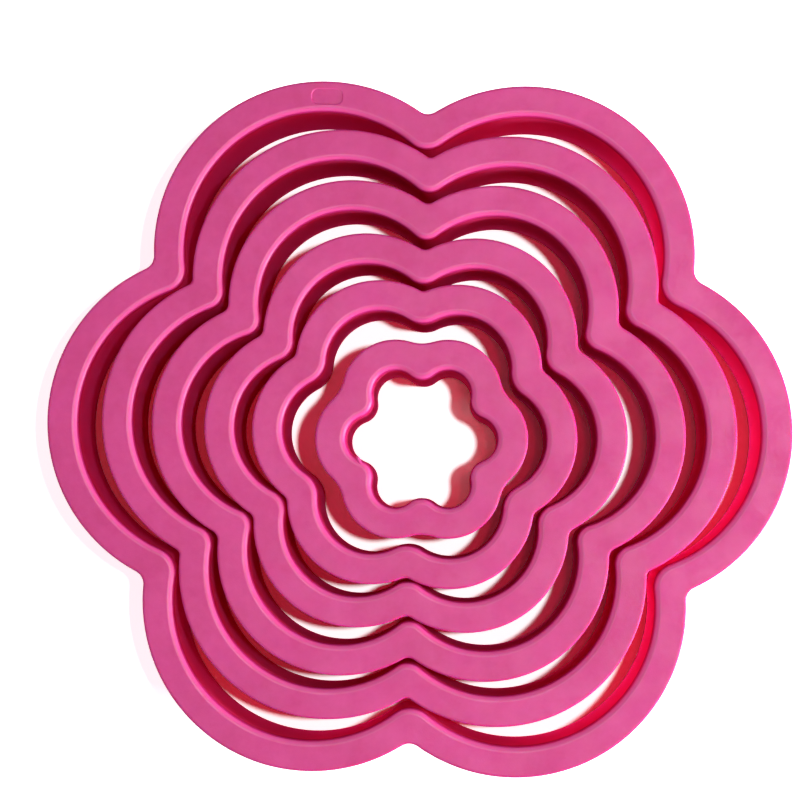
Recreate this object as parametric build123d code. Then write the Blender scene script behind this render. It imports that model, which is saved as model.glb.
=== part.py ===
"""Nested set of six flower-shaped pastry cutters, millimetres, +Z up.

Each cutter is one plastic moulding: a flat flange to press on, and below it a thin
wall that runs down to the cutting edge. All six stand on their cutting edges, one
inside the other, as they are stored. The origin is the largest cutter's axis at the
level of the cutting edges, and two of its petals point along +X and -X.
"""

import math
import os
from dataclasses import dataclass

from build123d import *

# The smallest cutter's opening, measured at its inner wall face
opening_span = 23.3  # across two opposite petals
opening_notch_depth = 2.57  # from the circle through the petal tips in to a notch
petal_count = 6

# The section that all the cutters share
cutter_height = 20.0
flange_width = 4.8  # from the flange's outer edge to the inner wall face
flange_thickness = 2.0
wall_thickness = 1.4  # right under the flange
wall_foot_thickness = 1.0  # at the top of the cutting bevel
bevel_height = 3.0
land_width = 0.5  # the flat of the cutting edge
wall_lean = 0.15  # how far the inner face comes in from the flange to the edge
inner_edge_round = 1.0
outer_edge_round = 0.35
root_fillet = 0.8  # between the wall and the underside of the flange

# Notches: the rounding inside and outside, and the gaps from one cutter to the next
inner_notch_round = 3.3
outer_notch_round = 2.0
tip_gap = 3.4
notch_gap = 1.36

# The blank recessed panel on the largest flange
panel_length = 5.0
panel_width = 2.6
panel_depth = 0.12
panel_corner = 0.8
panel_petal = 2  # counted round from the petal on +X
panel_turn_share = -0.5  # of the angle between two petals, about that petal's centre

cut_overrun = 1.0


@dataclass(frozen=True)
class NestShares:
    """One cutter's own shares of the sizes above, and its loose place in the nest.

    The gaps are those to the cutter inside it. The shifts and the turn are shares of
    its own notch gap to the cutter outside it, counted from that cutter's place.
    """

    node: str
    inner_round_share: float
    outer_round_share: float
    tip_gap_share: float
    notch_gap_share: float
    shift_x_share: float
    shift_y_share: float
    turn_share: float


# From the smallest cutter outwards
nest_shares = [
    NestShares("smallest_cutter", 0.85, 3.0, 0.0, 0.0, 0.47, -0.30, 0.34),
    NestShares("fifth_cutter", 1.30, 0.70, 1.14, 1.73, -0.20, -0.34, -0.29),
    NestShares("fourth_cutter", 1.00, 0.80, 0.81, 0.59, -0.35, -0.37, -0.18),
    NestShares("third_cutter", 0.82, 0.80, 1.10, 0.80, -0.06, -0.38, 0.05),
    NestShares("second_cutter", 0.91, 0.50, 0.88, 0.90, -0.01, 0.06, -0.48),
    NestShares("largest_cutter", 1.18, 1.10, 1.08, 0.99, 0.0, 0.0, 0.0),
]

petal_step = 360.0 / petal_count


@dataclass(frozen=True)
class Flower:
    """A flower outline: arcs about the petal centres, joined by arcs in the notches."""

    petal_radius: float
    petal_distance: float
    notch_round: float

    def notch_distance(self) -> float:
        """Distance from the axis to the centre of a notch's arc."""
        half_step = math.radians(petal_step / 2)
        along = self.petal_distance * math.cos(half_step)
        across = self.petal_distance * math.sin(half_step)
        reach = self.petal_radius + self.notch_round
        return along + math.sqrt(reach**2 - across**2)

    def tip_radius(self) -> float:
        """Radius of the circle through the petal tips."""
        return self.petal_distance + self.petal_radius

    def notch_radius(self) -> float:
        """Radius of the circle through the bottoms of the notches."""
        return self.notch_distance() - self.notch_round

    def grown(self, distance: float) -> "Flower":
        """The parallel outline that lies outside this one by a distance."""
        return Flower(
            self.petal_radius + distance, self.petal_distance, self.notch_round - distance
        )

    def face(self, height: float) -> Face:
        """The outline filled in, lying flat at a height."""
        half_step = math.radians(petal_step / 2)
        notch_distance = self.notch_distance()
        tangent = math.degrees(
            math.atan2(
                notch_distance * math.sin(half_step),
                notch_distance * math.cos(half_step) - self.petal_distance,
            )
        )
        arcs = []
        for index in range(petal_count):
            heading = index * petal_step
            next_heading = heading + petal_step
            start = self.petal_point(heading, -tangent)
            tip = self.petal_point(heading, 0)
            end = self.petal_point(heading, tangent)
            bottom = polar(self.notch_radius(), heading + petal_step / 2)
            next_start = self.petal_point(next_heading, -tangent)
            arcs.append(ThreePointArc(start, tip, end))
            arcs.append(ThreePointArc(end, bottom, next_start))
        return Pos(0, 0, height) * make_face(Curve() + arcs).face()

    def petal_point(self, heading: float, turn: float) -> Vector:
        """A point on the petal that lies at a heading, turned about the petal's centre."""
        centre = polar(self.petal_distance, heading)
        return centre + polar(self.petal_radius, heading + turn)


def polar(radius: float, angle: float) -> Vector:
    """A point in the plane from its radius and its angle in degrees."""
    return Vector(radius * math.cos(math.radians(angle)), radius * math.sin(math.radians(angle)))


def flower_from_tips(tip_radius: float, notch_radius: float, notch_round: float) -> Flower:
    """The flower whose petals reach one circle and whose notches reach another."""
    tip_reach = tip_radius + notch_round
    notch_reach = notch_radius + notch_round
    spread = tip_reach - notch_reach * math.cos(math.radians(petal_step / 2))
    petal_distance = (tip_reach**2 - notch_reach**2) / (2 * spread)
    return Flower(tip_radius - petal_distance, petal_distance, notch_round)


def moulding(inner: Flower, outer: Flower) -> Part:
    """One cutter about its own axis, from its inner wall face and its flange's edge."""
    flange_bottom = cutter_height - flange_thickness
    foot = inner.grown(-wall_lean)
    bevel_top = inner.grown(-wall_lean * (1 - bevel_height / flange_bottom))
    wall = loft(
        [
            foot.grown(land_width).face(0),
            bevel_top.grown(wall_foot_thickness).face(bevel_height),
            inner.grown(wall_thickness).face(flange_bottom),
        ],
        ruled=True,
    )
    flange = extrude(outer.face(flange_bottom), flange_thickness)
    blank = flange + wall
    opening = loft([foot.face(0), inner.face(flange_bottom)], ruled=True)
    flange_opening = extrude(inner.face(flange_bottom), flange_thickness + cut_overrun)
    solid = blank - opening - flange_opening
    return rounded(solid, inner, outer)


def rounded(solid: Part, inner: Flower, outer: Flower) -> Part:
    """Round the flange's edges and fill the corner under it."""
    flange_bottom = cutter_height - flange_thickness
    solid = fillet(edges_at(solid, cutter_height, outer), outer_edge_round)
    solid = fillet(edges_at(solid, flange_bottom, outer), outer_edge_round)
    solid = fillet(edges_at(solid, cutter_height, inner), inner_edge_round)
    return fillet(edges_at(solid, flange_bottom, inner.grown(wall_thickness)), root_fillet)


def edges_at(solid: Part, height: float, flower: Flower) -> ShapeList:
    """The edges of a solid that lie on a flower outline at a height."""
    outline = flower.face(height).outer_wire()
    tolerance = land_width / 100
    found = ShapeList()
    for edge in solid.edges():
        middle = edge @ 0.5
        if abs(middle.Z - height) < tolerance and outline.distance_to(middle) < tolerance:
            found.append(edge)
    return found


def blank_panel(outer: Flower) -> Part:
    """The shallow recess that the largest flange carries in the place of a marking."""
    heading = panel_petal * petal_step
    turn = heading + panel_turn_share * petal_step
    centre = polar(outer.petal_distance, heading)
    middle = centre + polar(outer.petal_radius - flange_width / 2, turn)
    outline = RectangleRounded(panel_length, panel_width, panel_corner)
    placed = Pos(middle.X, middle.Y, cutter_height - panel_depth) * Rot(0, 0, turn - 90)
    return placed * extrude(outline, panel_depth + cut_overrun)


def outlines() -> list[tuple[Flower, Flower]]:
    """Each cutter's inner and outer outline, from the smallest outwards."""
    pairs = []
    tip_radius = opening_span / 2
    notch_radius = tip_radius - opening_notch_depth
    for shares in nest_shares:
        if pairs:
            inside = pairs[-1][1]
            tip_radius = inside.tip_radius() + tip_gap * shares.tip_gap_share
            notch_radius = inside.notch_radius() + notch_gap * shares.notch_gap_share
        inner_round = inner_notch_round * shares.inner_round_share
        inner = flower_from_tips(tip_radius, notch_radius, inner_round)
        outer_round = outer_notch_round * shares.outer_round_share
        outer = Flower(inner.petal_radius + flange_width, inner.petal_distance, outer_round)
        pairs.append((inner, outer))
    return pairs


def nest_places(pairs: list[tuple[Flower, Flower]]) -> list[Location]:
    """Where each cutter lies in the nest, worked out from the largest inwards."""
    x, y, turn = 0.0, 0.0, 0.0
    places = [Location((x, y, 0), (0, 0, turn))]
    for index in range(len(pairs) - 2, -1, -1):
        shares = nest_shares[index]
        gap = notch_gap * nest_shares[index + 1].notch_gap_share
        x += gap * shares.shift_x_share
        y += gap * shares.shift_y_share
        turn += math.degrees(gap * shares.turn_share / pairs[index][1].notch_radius())
        places.insert(0, Location((x, y, 0), (0, 0, turn)))
    return places


def main() -> None:
    """Build every cutter, set it in the nest and write it out."""
    os.makedirs("parts", exist_ok=True)
    pairs = outlines()
    places = nest_places(pairs)
    for shares, (inner, outer), place in zip(nest_shares, pairs, places):
        cutter = moulding(inner, outer)
        if shares.node == "largest_cutter":
            cutter = cutter - blank_panel(outer)
        export_step(place * cutter, f"parts/{shares.node}.step")
        print(f"{shares.node}: {2 * outer.tip_radius():.1f} mm across two opposite petals")


main()
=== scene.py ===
"""Looks of a nested set of six flower-shaped pastry cutters in translucent pink plastic.

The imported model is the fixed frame. Each cutter is modelled here as one finished moulding,
to the same outlines and section as its node, and stands for that node. Sizes are in metres
where no unit is named.
"""

import logging
import math
from dataclasses import dataclass, field, replace
from enum import Enum

import bmesh
import bpy
from mathutils import Matrix, Vector


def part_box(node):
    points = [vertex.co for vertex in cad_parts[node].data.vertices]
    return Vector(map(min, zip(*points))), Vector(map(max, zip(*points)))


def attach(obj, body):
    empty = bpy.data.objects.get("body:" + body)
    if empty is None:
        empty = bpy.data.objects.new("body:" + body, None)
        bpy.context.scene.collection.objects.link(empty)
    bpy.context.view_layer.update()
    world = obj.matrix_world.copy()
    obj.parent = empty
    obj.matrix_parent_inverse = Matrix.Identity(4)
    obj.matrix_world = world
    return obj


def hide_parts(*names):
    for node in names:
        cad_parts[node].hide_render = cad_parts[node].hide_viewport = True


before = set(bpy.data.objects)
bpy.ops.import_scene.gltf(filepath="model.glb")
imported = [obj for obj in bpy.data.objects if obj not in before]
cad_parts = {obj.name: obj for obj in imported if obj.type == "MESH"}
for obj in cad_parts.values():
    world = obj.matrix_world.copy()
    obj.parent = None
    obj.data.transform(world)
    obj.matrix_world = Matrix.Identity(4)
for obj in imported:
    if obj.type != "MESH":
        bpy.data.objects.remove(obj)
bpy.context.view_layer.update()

log = logging.getLogger("flower_cutters")
MM = 0.001
PETALS = 6
PETAL_STEP = math.tau / PETALS
Z_AXIS = (0.0, 0.0, 1.0)
WHITE = (1.0, 1.0, 1.0, 1.0)


class Node(Enum):
    """The six cutters, from the inside of the nest outwards."""

    SMALLEST = "smallest_cutter"
    FIFTH = "fifth_cutter"
    FOURTH = "fourth_cutter"
    THIRD = "third_cutter"
    SECOND = "second_cutter"
    LARGEST = "largest_cutter"


class Stretch(Enum):
    """The stretches of a cutter's surface, in the order of its material slots."""

    OUTSIDE = 0
    LIP = 1
    INSIDE = 2


def polar(radius: float, angle: float) -> Vector:
    """A point in the plane.

    Args:
        radius: its distance from the axis.
        angle: its direction from +X, in radians.

    Returns:
        The point, at height zero.
    """
    return Vector((radius * math.cos(angle), radius * math.sin(angle), 0.0))


@dataclass(frozen=True)
class Flower:
    """A flower outline: arcs about the petal centres, joined by arcs in the notches."""

    petal_radius: float
    petal_distance: float
    notch_round: float

    @classmethod
    def from_tips(cls, tip_radius: float, notch_radius: float, notch_round: float) -> "Flower":
        """The flower whose petals reach one circle and whose notches reach another.

        Args:
            tip_radius: radius of the circle through the petal tips.
            notch_radius: radius of the circle through the bottoms of the notches.
            notch_round: radius of the arc in each notch.

        Returns:
            The outline.
        """
        tip_reach = tip_radius + notch_round
        notch_reach = notch_radius + notch_round
        spread = tip_reach - notch_reach * math.cos(PETAL_STEP / 2)
        petal_distance = (tip_reach**2 - notch_reach**2) / (2 * spread)
        return cls(tip_radius - petal_distance, petal_distance, notch_round)

    @property
    def notch_distance(self) -> float:
        """Distance from the axis to the centre of a notch's arc."""
        along = self.petal_distance * math.cos(PETAL_STEP / 2)
        across = self.petal_distance * math.sin(PETAL_STEP / 2)
        return along + math.sqrt((self.petal_radius + self.notch_round) ** 2 - across**2)

    @property
    def tip_radius(self) -> float:
        """Radius of the circle through the petal tips."""
        return self.petal_distance + self.petal_radius

    @property
    def notch_radius(self) -> float:
        """Radius of the circle through the bottoms of the notches."""
        return self.notch_distance - self.notch_round

    @property
    def half_petal(self) -> float:
        """The angle from a petal's tip to where its arc meets a notch, about its centre."""
        along = self.notch_distance * math.cos(PETAL_STEP / 2) - self.petal_distance
        return math.atan2(self.notch_distance * math.sin(PETAL_STEP / 2), along)

    def grown(self, distance: float) -> "Flower":
        """Move the outline outwards.

        Args:
            distance: how far, or below zero to move it inwards.

        Returns:
            The parallel outline.
        """
        return Flower(
            self.petal_radius + distance, self.petal_distance, self.notch_round - distance
        )

    def reach(self, angle: float) -> float:
        """Distance from the axis to the outline.

        Args:
            angle: the direction, in radians from the tip of a petal.

        Returns:
            The distance.
        """
        from_tip = math.remainder(angle, PETAL_STEP)
        from_notch = math.remainder(angle - PETAL_STEP / 2, PETAL_STEP)
        join = polar(self.petal_distance, 0.0) + polar(self.petal_radius, self.half_petal)
        if abs(from_tip) < math.atan2(join.y, join.x):
            along, across = self.petal_distance, self.petal_radius
            angle, side = from_tip, 1.0
        else:
            along, across = self.notch_distance, self.notch_round
            angle, side = from_notch, -1.0
        half_chord = math.sqrt(across**2 - (along * math.sin(angle)) ** 2)
        return along * math.cos(angle) + side * half_chord

    def trace(
        self, mesh: bmesh.types.BMesh, height: float, steps: tuple[int, int]
    ) -> list[bmesh.types.BMEdge]:
        """Spin one vertex round the whole outline.

        Args:
            mesh: the mesh that gets the outline.
            height: the level that the outline lies at.
            steps: how many edges a petal's arc has, and a notch's.

        Returns:
            The edges of the closed outline.
        """
        lift = Vector((0.0, 0.0, height))
        start = polar(self.petal_distance, 0.0) + polar(self.petal_radius, -self.half_petal)
        already = set(mesh.edges)
        first = mesh.verts.new(start + lift)
        last = first
        notch_sweep = PETAL_STEP - 2 * self.half_petal
        for petal in range(PETALS):
            heading = petal * PETAL_STEP
            arcs = (
                (polar(self.petal_distance, heading), 2 * self.half_petal, steps[0]),
                (polar(self.notch_distance, heading + PETAL_STEP / 2), notch_sweep, steps[1]),
            )
            for centre, angle, count in arcs:
                arc = bmesh.ops.spin(
                    mesh, geom=[last], cent=centre + lift, axis=Z_AXIS,
                    dvec=(0.0, 0.0, 0.0), angle=angle, space=Matrix.Identity(4), steps=count,
                    use_merge=False, use_normal_flip=False, use_duplicate=False,
                )
                last = arc["geom_last"][0]
        bmesh.ops.weld_verts(mesh, targetmap={last: first})
        return [edge for edge in mesh.edges if edge not in already]


@dataclass(frozen=True)
class Section:
    """The cross-section that all the cutters share."""

    height: float = 20.0 * MM
    flange_width: float = 4.8 * MM
    flange_thickness: float = 2.0 * MM
    wall_thickness: float = 1.4 * MM
    wall_foot_thickness: float = 1.0 * MM
    bevel_height: float = 3.0 * MM
    land_width: float = 0.5 * MM
    wall_lean: float = 0.15 * MM
    inner_edge_round: float = 1.0 * MM
    outer_edge_round: float = 0.35 * MM
    root_fillet: float = 0.8 * MM
    land_round: float = 0.06 * MM
    support: float = 0.12 * MM  # flat left beside each rounding, to keep the flats flat

    @property
    def flange_bottom(self) -> float:
        """The level of the flange's underside."""
        return self.height - self.flange_thickness


@dataclass(frozen=True)
class PaintedLightFade:
    """A painted change of the plastic's colour by height, for a painted highlight and painted
    shade: what the colour turns to, from one level down to another.
    """

    colour: tuple[float, float, float]
    top: float
    bottom: float


@dataclass(frozen=True)
class PinkPlastic:
    """Satin polypropylene that lets some light through, redder the further it goes."""

    name: str
    base: tuple[float, float, float] = (0.64, 0.018, 0.230)
    pale: tuple[float, float, float] = (0.71, 0.036, 0.290)
    # painted highlight and painted shade, laid over the plastic's colour by height
    painted_fades: tuple[PaintedLightFade, ...] = ()
    roughness: float = 0.46
    scuffed_roughness: float = 0.58
    refraction: float = 1.49
    gloss: float = 0.34
    grain_strength: float = 0.35
    grain_height: float = 0.04 * MM
    depth: float = 0.6 * MM  # how far light spreads below the surface
    depth_shares: tuple[float, float, float] = (1.0, 0.10, 0.28)  # of red, green and blue
    passed: tuple[float, float, float] = (0.40, 0.02, 0.08)  # left of a lamp's light
    seed: float = 0.0
    seed_slant: float = 1.7  # of the pattern's shift along Y, to its shift along X

    def material(self) -> bpy.types.Material:
        """Make the material.

        Returns:
            A Principled material with grain, melt streaks and scuffs from shared groups.
        """
        made = bpy.data.materials.new(self.name)
        made.use_nodes = True
        nodes, links = made.node_tree.nodes, made.node_tree.links
        shader = nodes["Principled BSDF"]
        shader.inputs["Subsurface Weight"].default_value = 1.0
        shader.inputs["Subsurface Radius"].default_value = self.depth_shares
        shader.inputs["Subsurface Scale"].default_value = self.depth
        shader.inputs["IOR"].default_value = self.refraction
        shader.inputs["Specular IOR Level"].default_value = self.gloss
        place = nodes.new("ShaderNodeTexCoord")
        shift = nodes.new("ShaderNodeMapping")
        shift.inputs["Location"].default_value = (self.seed, self.seed * self.seed_slant, 0.0)
        links.new(place.outputs["Object"], shift.inputs["Vector"])
        melt = nodes.new("ShaderNodeGroup")
        melt.node_tree = MeltStreaks().group()
        scuffs = nodes.new("ShaderNodeGroup")
        scuffs.node_tree = Scuffs().group()
        grain = nodes.new("ShaderNodeGroup")
        grain.node_tree = MouldGrain().group()
        for group in (melt, scuffs, grain):
            links.new(shift.outputs["Vector"], group.inputs["Vector"])
        tint = nodes.new("ShaderNodeMix")
        tint.data_type = "RGBA"
        tint.inputs[6].default_value = (*self.base, 1.0)
        tint.inputs[7].default_value = (*self.pale, 1.0)
        links.new(melt.outputs["Mask"], tint.inputs[0])
        rough = nodes.new("ShaderNodeMapRange")
        rough.inputs["To Min"].default_value = self.roughness
        rough.inputs["To Max"].default_value = self.scuffed_roughness
        links.new(scuffs.outputs["Mask"], rough.inputs["Value"])
        links.new(rough.outputs["Result"], shader.inputs["Roughness"])
        colour = tint.outputs[2]
        # paint light and shade into the colour by height: a paler lip head, a darker lip foot,
        # deep red walls
        for fade in self.painted_fades:
            colour = self.paint_light_by_height(nodes, links, place, colour, fade)
        links.new(colour, shader.inputs["Base Color"])
        bump = nodes.new("ShaderNodeBump")
        bump.inputs["Strength"].default_value = self.grain_strength
        bump.inputs["Distance"].default_value = self.grain_height
        links.new(grain.outputs["Height"], bump.inputs["Height"])
        links.new(bump.outputs["Normal"], shader.inputs["Normal"])
        self.let_lamps_through(nodes, links, shader)
        return made

    @staticmethod
    def paint_light_by_height(
        nodes: bpy.types.Nodes, links: bpy.types.NodeLinks, place: bpy.types.Node,
        colour: bpy.types.NodeSocket, fade: PaintedLightFade,
    ) -> bpy.types.NodeSocket:
        """Paint light and shade into the plastic's colour by height, turning it to another
        colour lower down.

        Args:
            nodes: the material's nodes.
            links: its links.
            place: the node that gives the place on the piece.
            colour: the colour above the fade.
            fade: the colour below it, and its levels.

        Returns:
            The colour of the whole height.
        """
        split = nodes.new("ShaderNodeSeparateXYZ")
        links.new(place.outputs["Object"], split.inputs[0])
        share = nodes.new("ShaderNodeMapRange")
        share.interpolation_type = "SMOOTHSTEP"
        share.inputs["From Min"].default_value = fade.top
        share.inputs["From Max"].default_value = fade.bottom
        links.new(split.outputs["Z"], share.inputs["Value"])
        painted_colour = nodes.new("ShaderNodeMix")
        painted_colour.data_type = "RGBA"
        painted_colour.inputs[7].default_value = (*fade.colour, 1.0)
        links.new(share.outputs["Result"], painted_colour.inputs[0])
        links.new(colour, painted_colour.inputs[6])
        return painted_colour.outputs[2]

    def let_lamps_through(
        self, nodes: bpy.types.Nodes, links: bpy.types.NodeLinks, shader: bpy.types.Node
    ) -> None:
        """Tint what the lamps send through the plastic, so that its shadows are red.

        Args:
            nodes: the material's nodes.
            links: its links.
            shader: the plastic itself.
        """
        path = nodes.new("ShaderNodeLightPath")
        tinted = nodes.new("ShaderNodeBsdfTransparent")
        tinted.inputs["Color"].default_value = (*self.passed, 1.0)
        choice = nodes.new("ShaderNodeMixShader")
        links.new(path.outputs["Is Shadow Ray"], choice.inputs[0])
        links.new(shader.outputs[0], choice.inputs[1])
        links.new(tinted.outputs[0], choice.inputs[2])
        links.new(choice.outputs[0], nodes["Material Output"].inputs["Surface"])


class SharedGroup:
    """A shader node group that is built once and placed in each material."""

    name = "group"
    outputs: tuple[tuple[str, str], ...] = ()

    def group(self) -> bpy.types.NodeTree:
        """Find the group, or make it the first time it is asked for.

        Returns:
            The group's node tree.
        """
        found = bpy.data.node_groups.get(self.name)
        if found:
            return found
        tree = bpy.data.node_groups.new(self.name, "ShaderNodeTree")
        tree.interface.new_socket("Vector", in_out="INPUT", socket_type="NodeSocketVector")
        for label, kind in self.outputs:
            tree.interface.new_socket(label, in_out="OUTPUT", socket_type=kind)
        start = tree.nodes.new("NodeGroupInput")
        end = tree.nodes.new("NodeGroupOutput")
        self.fill(tree, start.outputs["Vector"], end)
        return tree

    def fill(
        self, tree: bpy.types.NodeTree, vector: bpy.types.NodeSocket, end: bpy.types.Node
    ) -> None:
        """Add the group's own nodes.

        Args:
            tree: the group's tree.
            vector: where the pattern's place comes in.
            end: the node that takes what the group puts out.
        """
        raise NotImplementedError

    @staticmethod
    def noise(
        tree: bpy.types.NodeTree, vector: bpy.types.NodeSocket, size: float, detail: float
    ) -> bpy.types.NodeSocket:
        """Add a noise texture.

        Args:
            tree: the tree that gets it.
            vector: its place.
            size: the width of its patches in metres.
            detail: how many finer layers it has.

        Returns:
            Its value, from 0 to 1.
        """
        texture = tree.nodes.new("ShaderNodeTexNoise")
        texture.inputs["Scale"].default_value = 1.0 / size
        texture.inputs["Detail"].default_value = detail
        tree.links.new(vector, texture.inputs["Vector"])
        return texture.outputs[0]

    @staticmethod
    def spread(
        tree: bpy.types.NodeTree, value: bpy.types.NodeSocket, ends: tuple[float, float]
    ) -> bpy.types.NodeSocket:
        """Stretch a pattern so that it runs from 0 to 1.

        Args:
            tree: the tree that the pattern is in.
            value: the pattern's value.
            ends: the values that become 0 and 1.

        Returns:
            The stretched value.
        """
        stretched = tree.nodes.new("ShaderNodeMapRange")
        stretched.inputs["From Min"].default_value = ends[0]
        stretched.inputs["From Max"].default_value = ends[1]
        tree.links.new(value, stretched.inputs["Value"])
        return stretched.outputs["Result"]


class MeltStreaks(SharedGroup):
    """Paler clouds where the melt met while the mould filled, with a finer mottle in them."""

    name = "melt_streaks"
    outputs = (("Mask", "NodeSocketFloat"),)
    cloud = 9.0 * MM
    mottle = 1.6 * MM
    mottle_share = 0.6
    detail = 3.0
    ends = (0.55, 1.05)

    def fill(
        self, tree: bpy.types.NodeTree, vector: bpy.types.NodeSocket, end: bpy.types.Node
    ) -> None:
        """Wide soft noise and finer noise, spread from dark to pale."""
        both = tree.nodes.new("ShaderNodeMath")
        both.operation = "MULTIPLY_ADD"
        both.inputs[1].default_value = self.mottle_share
        tree.links.new(self.noise(tree, vector, self.mottle, self.detail), both.inputs[0])
        tree.links.new(self.noise(tree, vector, self.cloud, self.detail), both.inputs[2])
        mask = self.spread(tree, both.outputs[0], self.ends)
        tree.links.new(mask, end.inputs["Mask"])


class Scuffs(SharedGroup):
    """Small rubbed patches from handling and from the neighbouring cutters."""

    name = "scuffs"
    outputs = (("Mask", "NodeSocketFloat"),)
    rub = 0.5 * MM
    patch = 5.0 * MM
    ends = (0.18, 0.38)

    def fill(
        self, tree: bpy.types.NodeTree, vector: bpy.types.NodeSocket, end: bpy.types.Node
    ) -> None:
        """Fine noise that shows only inside coarser patches."""
        fine = self.noise(tree, vector, self.rub, detail=4.0)
        coarse = self.noise(tree, vector, self.patch, detail=2.0)
        both = tree.nodes.new("ShaderNodeMath")
        both.operation = "MULTIPLY"
        tree.links.new(fine, both.inputs[0])
        tree.links.new(coarse, both.inputs[1])
        mask = self.spread(tree, both.outputs[0], self.ends)
        tree.links.new(mask, end.inputs["Mask"])


class MouldGrain(SharedGroup):
    """The mould's fine spark-eroded grain over a slight ripple of the flats."""

    name = "mould_grain"
    outputs = (("Height", "NodeSocketFloat"),)
    grain = 0.22 * MM
    ripple = 6.0 * MM
    ripple_share = 2.5

    def fill(
        self, tree: bpy.types.NodeTree, vector: bpy.types.NodeSocket, end: bpy.types.Node
    ) -> None:
        """Fine noise added to wide noise."""
        fine = self.noise(tree, vector, self.grain, detail=2.0)
        ripple = self.noise(tree, vector, self.ripple, detail=1.0)
        raised = tree.nodes.new("ShaderNodeMath")
        raised.operation = "MULTIPLY_ADD"
        raised.inputs[1].default_value = self.ripple_share
        tree.links.new(ripple, raised.inputs[0])
        tree.links.new(fine, raised.inputs[2])
        tree.links.new(raised.outputs[0], end.inputs["Height"])


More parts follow.
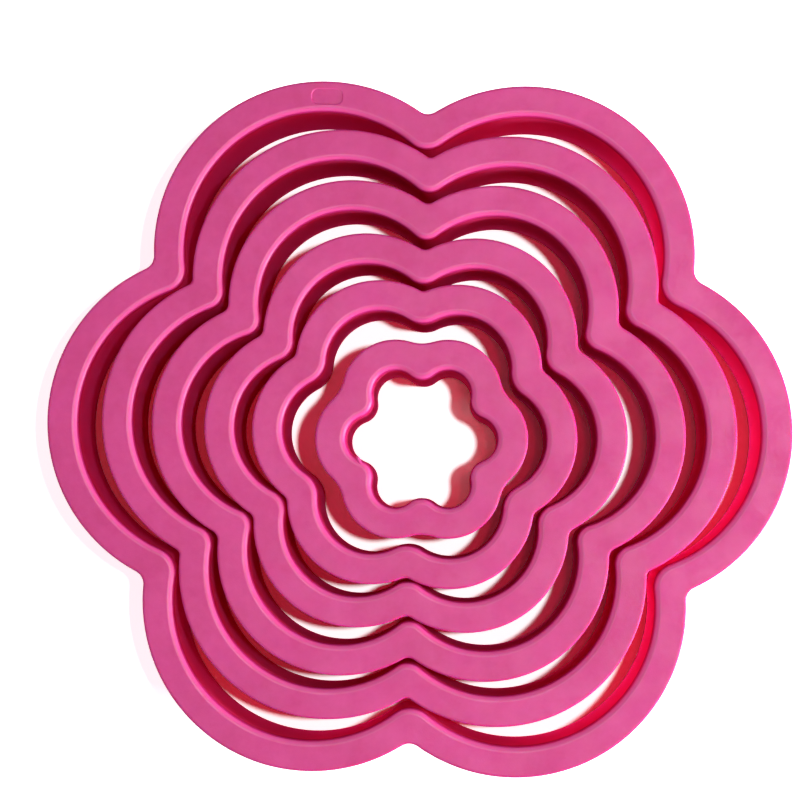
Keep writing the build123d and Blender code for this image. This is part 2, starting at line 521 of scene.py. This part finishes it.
@dataclass
class Cutter:
    """One moulded cutter: its outlines, its place in the nest and its finish."""

    node: Node
    inner: Flower
    outer: Flower
    turn: float
    seed: float
    features: tuple["Feature", ...] = ()
    section: Section = field(default_factory=Section)
    facet: float = 0.9 * MM  # length of an edge along a petal's arc
    least_petal_steps: int = 12
    notch_steps: int = 10
    lip_share: float = 0.36  # of the rounding's radius, as far down as it shines
    least_inward: float = 0.1 * MM  # lean towards the axis, of a face that counts as inner

    def steps(self) -> tuple[int, int]:
        """Share out the outline's edges.

        Returns:
            How many edges a petal's arc has, and a notch's.
        """
        petal = 2 * self.outer.half_petal * self.outer.petal_radius
        return max(self.least_petal_steps, round(petal / self.facet)), self.notch_steps

    def loops(self) -> list[tuple[Flower, float]]:
        """List the outlines that the surface runs through, round the section.

        Returns:
            Each outline with its level.
        """
        s = self.section
        foot = self.inner.grown(-s.wall_lean)
        bevel_top = self.inner.grown(-s.wall_lean * (1 - s.bevel_height / s.flange_bottom))
        outer_flat = self.outer.grown(-s.outer_edge_round - s.support)
        inner_flat = self.inner.grown(s.inner_edge_round + s.support)
        return [
            (outer_flat, s.height),
            (self.outer, s.height),
            (self.outer, s.flange_bottom),
            (self.inner.grown(s.wall_thickness), s.flange_bottom),
            (bevel_top.grown(s.wall_foot_thickness), s.bevel_height),
            (foot.grown(s.land_width), 0.0),
            (foot, 0.0),
            (self.inner, s.height),
            (inner_flat, s.height),
        ]

    def shell(self) -> bmesh.types.BMesh:
        """Bridge the outlines into a closed shell and round its edges.

        Outlines that end up at one level are bridged on storeys of their own, because two
        loops in one plane don't tell the operator which way round they pair.

        Returns:
            The moulding about its own axis.
        """
        s = self.section
        storey = s.flange_thickness
        shell = bmesh.new()
        rings = [
            flower.trace(shell, index * storey, self.steps())
            for index, (flower, _) in enumerate(self.loops())
        ]
        for ring, next_ring in zip(rings, rings[1:] + rings[:1]):
            bmesh.ops.bridge_loops(
                shell, edges=ring + next_ring, use_pairs=False, use_cyclic=False,
                use_merge=False, merge_factor=0.5, twist_offset=0,
            )
        for index, (ring, (_, level)) in enumerate(zip(rings, self.loops())):
            verts = list({vert for edge in ring for vert in edge.verts})
            bmesh.ops.translate(shell, vec=(0.0, 0.0, level - index * storey), verts=verts)
        bmesh.ops.recalc_face_normals(shell, faces=shell.faces[:])
        roundings = (
            (rings[1] + rings[2], s.outer_edge_round, 4),
            (rings[3], s.root_fillet, 4),
            (rings[5] + rings[6], s.land_round, 2),
            (rings[7], s.inner_edge_round, 7),
        )
        for edges, radius, segments in roundings:
            bmesh.ops.bevel(
                shell, geom=edges, offset=radius, offset_type="OFFSET", segments=segments,
                profile=0.5, affect="EDGES", material=-1, clamp_overlap=False,
                loop_slide=True,
            )
        return shell

    def build(self) -> None:
        """Make the cutter's object in its place in the nest, standing for its node."""
        low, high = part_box(self.node.value)
        centre = (low + high) / 2
        shell = self.shell()
        bmesh.ops.rotate(
            shell, cent=(0.0, 0.0, 0.0), matrix=Matrix.Rotation(self.turn, 3, "Z"),
            verts=shell.verts[:],
        )
        bmesh.ops.translate(shell, vec=Vector((centre.x, centre.y, low.z)), verts=shell.verts[:])
        for face in shell.faces:
            face.smooth = True
        mesh = bpy.data.meshes.new(f"{self.node.value}_moulding")
        shell.to_mesh(mesh)
        shell.free()
        piece = bpy.data.objects.new(mesh.name, mesh)
        bpy.context.scene.collection.objects.link(piece)
        for feature in self.features:
            feature.apply(piece)
        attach(piece, self.node.value)
        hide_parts(self.node.value)
        self.dress(piece)
        log.info("%s: %d faces", piece.name, len(piece.data.polygons))

    def finishes_and_painted_light(self) -> tuple[PinkPlastic, PinkPlastic, PinkPlastic]:
        """Finish the plastic for each stretch of the surface, and paint light and shade into the
        colour of the lip and the inside.

        Returns:
            The finishes with their painted light, in the order of the slots.
        """
        name = self.node.value
        top, edge = self.section.height, self.section.inner_edge_round
        outside = PinkPlastic(f"pink_outside_{name}", seed=self.seed)
        # painted highlight: the lip turns paler below its top, which also lightens it where it
        # faces away from the lamps
        painted_lip_highlight = PaintedLightFade((0.80, 0.052, 0.33), top, top - 0.16 * edge)
        # painted shade: the lip turns darker towards its foot
        painted_lip_shade = PaintedLightFade((0.42, 0.010, 0.065), top - 0.13 * edge, top - 0.85 * edge)
        # painted shade and painted red glow: the inside walls turn deep red lower down, for the
        # shut-in wells and light come through the plastic
        painted_well_shade = PaintedLightFade((0.76, 0.018, 0.105), top - edge, top - 2.5 * edge)
        lip = replace(
            outside, name=f"pink_lip_{name}", painted_fades=(painted_lip_highlight, painted_lip_shade), gloss=0.60,
            depth=1.0 * MM, depth_shares=(1.0, 0.30, 0.50),
        )
        inside = replace(
            outside, name=f"pink_inside_{name}", painted_fades=(painted_lip_shade, painted_well_shade), roughness=0.9,
            scuffed_roughness=0.9, gloss=0.0, depth=10.0 * MM, depth_shares=(1.0, 0.55, 0.80),
        )
        return outside, lip, inside

    def dress(self, piece: bpy.types.Object) -> None:
        """Give each stretch of the moulding its finish, with the painted light and shade of the
        lip and the inside, and even out the shading of its flats.

        Args:
            piece: the moulding's object.
        """
        for finish in self.finishes_and_painted_light():
            piece.data.materials.append(finish.material())
        low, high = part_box(self.node.value)
        centre = (low + high) / 2
        lip_bottom = self.section.height - self.lip_share * self.section.inner_edge_round
        for face in piece.data.polygons:
            out = Vector(face.center) - centre
            stretch = Stretch.OUTSIDE
            if face.normal.x * out.x + face.normal.y * out.y < -self.least_inward:
                stretch = Stretch.INSIDE if face.center.z < lip_bottom else Stretch.LIP
            face.material_index = stretch.value
        weighted = piece.modifiers.new("flat_shading", "WEIGHTED_NORMAL")
        weighted.keep_sharp = True


@dataclass(frozen=True)
class Feature:
    """A small shape that is cut into a moulding or joined to it."""

    place: tuple[float, float, float]
    facing: tuple[float, float, float]
    along: float  # its turn about the way it faces, in radians
    length: float

    operation = "UNION"
    sharp_angle = math.radians(28.0)

    def tool(self) -> bmesh.types.BMesh:
        """Make the shape about its own origin, facing up.

        Returns:
            The shape's mesh.
        """
        raise NotImplementedError

    def apply(self, piece: bpy.types.Object) -> None:
        """Combine the shape with a moulding.

        Args:
            piece: the moulding's object, which gets the new mesh.
        """
        tool = self.tool()
        facing = Vector(self.facing).to_track_quat("Z", "Y").to_matrix().to_4x4()
        spun = Matrix.Rotation(self.along, 4, "Z")
        bmesh.ops.transform(
            tool, matrix=Matrix.Translation(self.place) @ facing @ spun, verts=tool.verts[:]
        )
        bmesh.ops.recalc_face_normals(tool, faces=tool.faces[:])
        mesh = bpy.data.meshes.new("feature_tool")
        tool.to_mesh(mesh)
        tool.free()
        other = bpy.data.objects.new("feature_tool", mesh)
        bpy.context.scene.collection.objects.link(other)
        combined = piece.modifiers.new("feature", "BOOLEAN")
        combined.operation = self.operation
        combined.solver = "EXACT"
        combined.object = other
        depsgraph = bpy.context.evaluated_depsgraph_get()
        made = bpy.data.meshes.new_from_object(piece.evaluated_get(depsgraph))
        made.name = piece.data.name
        piece.modifiers.remove(combined)
        piece.data = made
        bpy.data.objects.remove(other)
        self.sharpen(made)

    def sharpen(self, mesh: bpy.types.Mesh) -> None:
        """Keep the edges that a feature leaves sharp.

        Args:
            mesh: the moulding's mesh with the feature in it.
        """
        shell = bmesh.new()
        shell.from_mesh(mesh)
        for edge in shell.edges:
            middle = (edge.verts[0].co + edge.verts[1].co) / 2
            near = (middle - Vector(self.place)).length < self.length
            if near and edge.calc_face_angle(0.0) > self.sharp_angle:
                edge.smooth = False
        shell.to_mesh(mesh)
        shell.free()


@dataclass(frozen=True)
class BlankPanel(Feature):
    """The shallow recess on the largest flange, in the place of a marking."""

    length: float = 5.0 * MM
    width: float = 2.6 * MM
    depth: float = 0.12 * MM
    corner: float = 0.8 * MM
    overrun: float = 0.3 * MM
    draft_share: float = 1.3  # how far the sides slope inwards, of the depth

    operation = "DIFFERENCE"

    def tool(self) -> bmesh.types.BMesh:
        """Make a block with rounded corners and sloping sides, down to the recess's floor.

        Returns:
            The block's mesh.
        """
        block = bmesh.new()
        bmesh.ops.create_cube(block, size=1.0)
        for level in (-self.depth, self.overrun):
            ring = [vert for vert in block.verts if (vert.co.z > 0) == (level > 0)]
            spread = 2 * self.draft_share * level
            bmesh.ops.scale(
                block, vec=(self.length + spread, self.width + spread, 0.0), verts=ring
            )
            bmesh.ops.translate(block, vec=(0.0, 0.0, level), verts=ring)
        upright = [edge for edge in block.edges if edge.verts[0].co.z != edge.verts[1].co.z]
        bmesh.ops.bevel(
            block, geom=upright, offset=self.corner, offset_type="OFFSET", segments=6,
            profile=0.5, affect="EDGES", material=-1,
        )
        return block


@dataclass(frozen=True)
class GateVestige(Feature):
    """The nib that is left where the melt's gate was broken off."""

    length: float = 1.8 * MM
    width: float = 0.7 * MM
    proud: float = 0.16 * MM
    taper: float = 0.75  # of the top's size, to the foot's
    edge_round: float = 0.08 * MM
    slant: float = math.radians(8.0)
    sides: int = 16

    def tool(self) -> bmesh.types.BMesh:
        """Make a low tapered stub, half sunk, with its broken top a little aslant.

        Returns:
            The stub's mesh.
        """
        stub = bmesh.new()
        bmesh.ops.create_cone(
            stub, cap_ends=True, cap_tris=False, segments=self.sides, radius1=0.5,
            radius2=0.5 * self.taper, depth=1.0,
        )
        bmesh.ops.scale(
            stub, vec=(self.length, self.width, 2 * self.proud), verts=stub.verts[:]
        )
        top = [vert for vert in stub.verts if vert.co.z > 0]
        aslant = Matrix.Rotation(self.slant, 3, "Y")
        bmesh.ops.rotate(stub, cent=(0.0, 0.0, self.proud), matrix=aslant, verts=top)
        rim = [edge for edge in stub.edges if edge.verts[0] in top and edge.verts[1] in top]
        bmesh.ops.bevel(
            stub, geom=rim, offset=self.edge_round, offset_type="OFFSET", segments=3,
            profile=0.5, affect="EDGES", material=-1,
        )
        return stub


@dataclass(frozen=True)
class NestShares:
    """One cutter's own shares of the set's sizes."""

    node: Node
    inner_round: float
    outer_round: float
    tip_gap: float
    notch_gap: float
    turn: float


@dataclass(frozen=True)
class FlowerSet:
    """The whole nest, worked out from the smallest opening outwards."""

    opening_span: float = 23.3 * MM
    opening_notch_depth: float = 2.57 * MM
    inner_notch_round: float = 3.3 * MM
    outer_notch_round: float = 2.0 * MM
    tip_gap: float = 3.4 * MM
    notch_gap: float = 1.36 * MM
    panel_petal: int = 2
    panel_turn_share: float = -0.5
    gate_angle: float = math.radians(201.0)
    gate_lean: float = math.radians(48.0)  # of the gate's axis, from upright
    seed_step: float = 0.31  # shift of the surface's patterns from one cutter to the next
    shares: tuple[NestShares, ...] = (
        NestShares(Node.SMALLEST, 0.85, 3.0, 0.0, 0.0, 0.34),
        NestShares(Node.FIFTH, 1.30, 0.70, 1.14, 1.73, -0.29),
        NestShares(Node.FOURTH, 1.00, 0.80, 0.81, 0.59, -0.18),
        NestShares(Node.THIRD, 0.82, 0.80, 1.10, 0.80, 0.05),
        NestShares(Node.SECOND, 0.91, 0.50, 0.88, 0.90, -0.48),
        NestShares(Node.LARGEST, 1.18, 1.10, 1.08, 0.99, 0.0),
    )

    def outlines(self, width: float) -> list[tuple[Flower, Flower]]:
        """Each cutter's inner and outer outline.

        Args:
            width: the flange's width.

        Returns:
            The pairs, from the smallest cutter outwards.
        """
        pairs: list[tuple[Flower, Flower]] = []
        tip_radius = self.opening_span / 2
        notch_radius = tip_radius - self.opening_notch_depth
        for own in self.shares:
            if pairs:
                tip_radius = pairs[-1][1].tip_radius + self.tip_gap * own.tip_gap
                notch_radius = pairs[-1][1].notch_radius + self.notch_gap * own.notch_gap
            inner_round = self.inner_notch_round * own.inner_round
            inner = Flower.from_tips(tip_radius, notch_radius, inner_round)
            outer_round = self.outer_notch_round * own.outer_round
            outer = Flower(inner.petal_radius + width, inner.petal_distance, outer_round)
            pairs.append((inner, outer))
        return pairs

    def cutters(self) -> list[Cutter]:
        """Work out every cutter, with the turn it lies at.

        Returns:
            The cutters, from the largest inwards.
        """
        pairs = self.outlines(Section().flange_width)
        made = []
        turn = 0.0
        outside_gap = 0.0
        for index in range(len(pairs) - 1, -1, -1):
            own = self.shares[index]
            inner, outer = pairs[index]
            turn += outside_gap * own.turn / outer.notch_radius
            outside_gap = self.notch_gap * own.notch_gap
            features = self.features(own.node, inner, outer, turn)
            seed = index * self.seed_step
            made.append(Cutter(own.node, inner, outer, turn, seed, features))
        return made

    def features(
        self, node: Node, inner: Flower, outer: Flower, cutter_turn: float
    ) -> tuple[Feature, ...]:
        """The small shapes that only some of the cutters carry.

        Args:
            node: the cutter.
            inner: its inner outline, about its own axis.
            outer: its outer outline.
            cutter_turn: the turn that it lies at.

        Returns:
            Its features, in their places in the nest.
        """
        low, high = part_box(node.value)
        centre = (low + high) / 2
        section = Section()
        if node is Node.LARGEST:
            heading = self.panel_petal * PETAL_STEP
            turn = heading + self.panel_turn_share * PETAL_STEP
            middle = polar(outer.petal_distance, heading) + polar(
                outer.petal_radius - section.flange_width / 2, turn
            )
            place = (centre.x + middle.x, centre.y + middle.y, high.z)
            return (BlankPanel(place, Z_AXIS, turn - math.pi / 2),)
        if node is Node.SMALLEST:
            way = polar(1.0, self.gate_angle)
            sink = section.inner_edge_round * (1.0 - math.cos(self.gate_lean))
            back = section.inner_edge_round * (1.0 - math.sin(self.gate_lean))
            middle = way * (inner.reach(self.gate_angle - cutter_turn) + back)
            place = (centre.x + middle.x, centre.y + middle.y, high.z - sink)
            facing = -way * math.sin(self.gate_lean) + Vector(Z_AXIS) * math.cos(self.gate_lean)
            return (GateVestige(place, tuple(facing), 0.0),)
        return ()


@dataclass(frozen=True)
class PhotoCamera:
    """The camera as the photograph has it: almost overhead, with the picture's own roll."""

    distance: float = 460.0 * MM
    lens_mm: float = 134.3
    sensor_mm: float = 36.0
    aim: tuple[float, float] = (-3.0 * MM, 4.15 * MM)
    tilt: tuple[float, float] = (0.0417, 0.0274)
    roll: float = math.radians(1.63)

    def build(self, level: float) -> None:
        """Set the camera up.

        Args:
            level: the height of the flanges, which it is aimed at.
        """
        data = bpy.data.cameras.new("photo_camera")
        data.lens = self.lens_mm
        data.sensor_width = self.sensor_mm
        camera = bpy.data.objects.new("photo_camera", data)
        lean = Vector((*self.tilt, 0.0))
        turned = Matrix.Rotation(self.roll, 4, "Z") @ Matrix.Rotation(
            lean.length, 4, lean.normalized()
        )
        aim = Matrix.Translation((*self.aim, level))
        camera.matrix_world = aim @ turned @ Matrix.Translation((0.0, 0.0, self.distance))
        bpy.context.scene.collection.objects.link(camera)
        bpy.context.scene.camera = camera


@dataclass(frozen=True)
class Lamp:
    """A square soft lamp aimed at the middle of the nest."""

    name: str
    place: tuple[float, float, float]
    size: float
    watts: float

    def build(self) -> None:
        """Make the lamp."""
        data = bpy.data.lights.new(self.name, "AREA")
        data.size = self.size
        data.energy = self.watts
        made = bpy.data.objects.new(self.name, data)
        made.location = self.place
        made.rotation_mode = "QUATERNION"
        made.rotation_quaternion = Vector(self.place).to_track_quat("Z", "Y")
        bpy.context.scene.collection.objects.link(made)


@dataclass(frozen=True)
class Studio:
    """White table, a lamp high on the right, one low on the right and a dim surround."""

    floor_size: float = 6.0
    floor_colour: float = 0.85
    floor_seen: float = 1.6  # the floor's colour to the camera
    painted_open_floor_glow: float = 0.75  # painted light: how strongly a glow seen by the camera pales the floor where it lies open, lightening the object's shadows there
    open_share: tuple[float, float] = (0.20, 0.30)  # of open sky, from hidden to open floor
    open_reach: float = 60.0 * MM
    open_samples: int = 32
    surround: float = 0.12
    high_lamp: Lamp = Lamp("high_lamp", (0.146, 0.008, 0.80), 0.03, 4.0)
    side_lamp: Lamp = Lamp("side_lamp", (0.38, -0.125, 0.085), 0.12, 2.6)

    def build(self) -> None:
        """Make the floor, the lamps and the surround."""
        self.floor()
        self.high_lamp.build()
        self.side_lamp.build()
        self.world()

    def floor(self) -> None:
        """Make the table, of a paper that looks whiter to the camera than it lights, with a
        painted glow where it lies open that pales the object's shadows there.
        """
        plate = bmesh.new()
        bmesh.ops.create_grid(plate, x_segments=1, y_segments=1, size=self.floor_size / 2)
        mesh = bpy.data.meshes.new("table")
        plate.to_mesh(mesh)
        plate.free()
        table = bpy.data.objects.new("table", mesh)
        bpy.context.scene.collection.objects.link(table)
        made = bpy.data.materials.new("white_table")
        made.use_nodes = True
        nodes, links = made.node_tree.nodes, made.node_tree.links
        nodes.clear()
        paper = nodes.new("ShaderNodeBsdfDiffuse")
        tone = nodes.new("ShaderNodeMix")
        tone.data_type = "RGBA"
        tone.inputs[6].default_value = (*[self.floor_colour] * 3, 1.0)
        tone.inputs[7].default_value = (*[self.floor_seen] * 3, 1.0)
        seen = self.seen(nodes, links)
        links.new(seen, tone.inputs[0])
        links.new(tone.outputs[2], paper.inputs["Color"])
        # painted light: the open-sky mask below gives the camera a glow on the open floor, so
        # shadows there look paler than the lamps make them
        opened = nodes.new("ShaderNodeAmbientOcclusion")
        opened.samples = self.open_samples
        opened.inputs["Distance"].default_value = self.open_reach
        share = nodes.new("ShaderNodeMapRange")
        share.interpolation_type = "SMOOTHSTEP"
        share.inputs["From Min"].default_value = self.open_share[0]
        share.inputs["From Max"].default_value = self.open_share[1]
        share.inputs["To Max"].default_value = self.painted_open_floor_glow
        links.new(opened.outputs["AO"], share.inputs["Value"])
        shown = nodes.new("ShaderNodeMath")
        shown.operation = "MULTIPLY"
        links.new(share.outputs["Result"], shown.inputs[0])
        links.new(seen, shown.inputs[1])
        painted_glow = nodes.new("ShaderNodeEmission")
        links.new(shown.outputs[0], painted_glow.inputs["Strength"])
        both = nodes.new("ShaderNodeAddShader")
        links.new(paper.outputs[0], both.inputs[0])
        links.new(painted_glow.outputs[0], both.inputs[1])
        output = nodes.new("ShaderNodeOutputMaterial")
        links.new(both.outputs[0], output.inputs["Surface"])
        mesh.materials.append(made)

    def world(self) -> None:
        """Light the object softly from all round, in front of a white background."""
        made = bpy.data.worlds.new("white_surround")
        made.use_nodes = True
        nodes, links = made.node_tree.nodes, made.node_tree.links
        soft = nodes["Background"]
        soft.inputs["Color"].default_value = WHITE
        soft.inputs["Strength"].default_value = self.surround
        white = nodes.new("ShaderNodeBackground")
        white.inputs["Color"].default_value = WHITE
        mix = nodes.new("ShaderNodeMixShader")
        links.new(self.seen(nodes, links), mix.inputs[0])
        links.new(soft.outputs[0], mix.inputs[1])
        links.new(white.outputs[0], mix.inputs[2])
        links.new(mix.outputs[0], nodes["World Output"].inputs["Surface"])
        bpy.context.scene.world = made

    @staticmethod
    def seen(nodes: bpy.types.Nodes, links: bpy.types.NodeLinks) -> bpy.types.NodeSocket:
        """Tell what the camera sees, straight on, mirrored or through glass, from the rest.

        Args:
            nodes: the material's or world's nodes.
            links: its links.

        Returns:
            A socket that gives 1 for a ray that is seen and 0 for light that falls on things.
        """
        path = nodes.new("ShaderNodeLightPath")
        straight = nodes.new("ShaderNodeMath")
        straight.operation = "MAXIMUM"
        links.new(path.outputs["Is Camera Ray"], straight.inputs[0])
        links.new(path.outputs["Is Glossy Ray"], straight.inputs[1])
        through = nodes.new("ShaderNodeMath")
        through.operation = "MAXIMUM"
        links.new(straight.outputs[0], through.inputs[0])
        links.new(path.outputs["Is Transmission Ray"], through.inputs[1])
        return through.outputs[0]


def main() -> None:
    """Build the nest and the studio round it."""
    logging.basicConfig(level=logging.INFO, format="%(name)s %(message)s")
    bpy.context.scene.view_settings.view_transform = "Standard"
    PhotoCamera().build(Section().height)
    Studio().build()
    for cutter in FlowerSet().cutters():
        cutter.build()


if __name__ == "__main__":
    main()
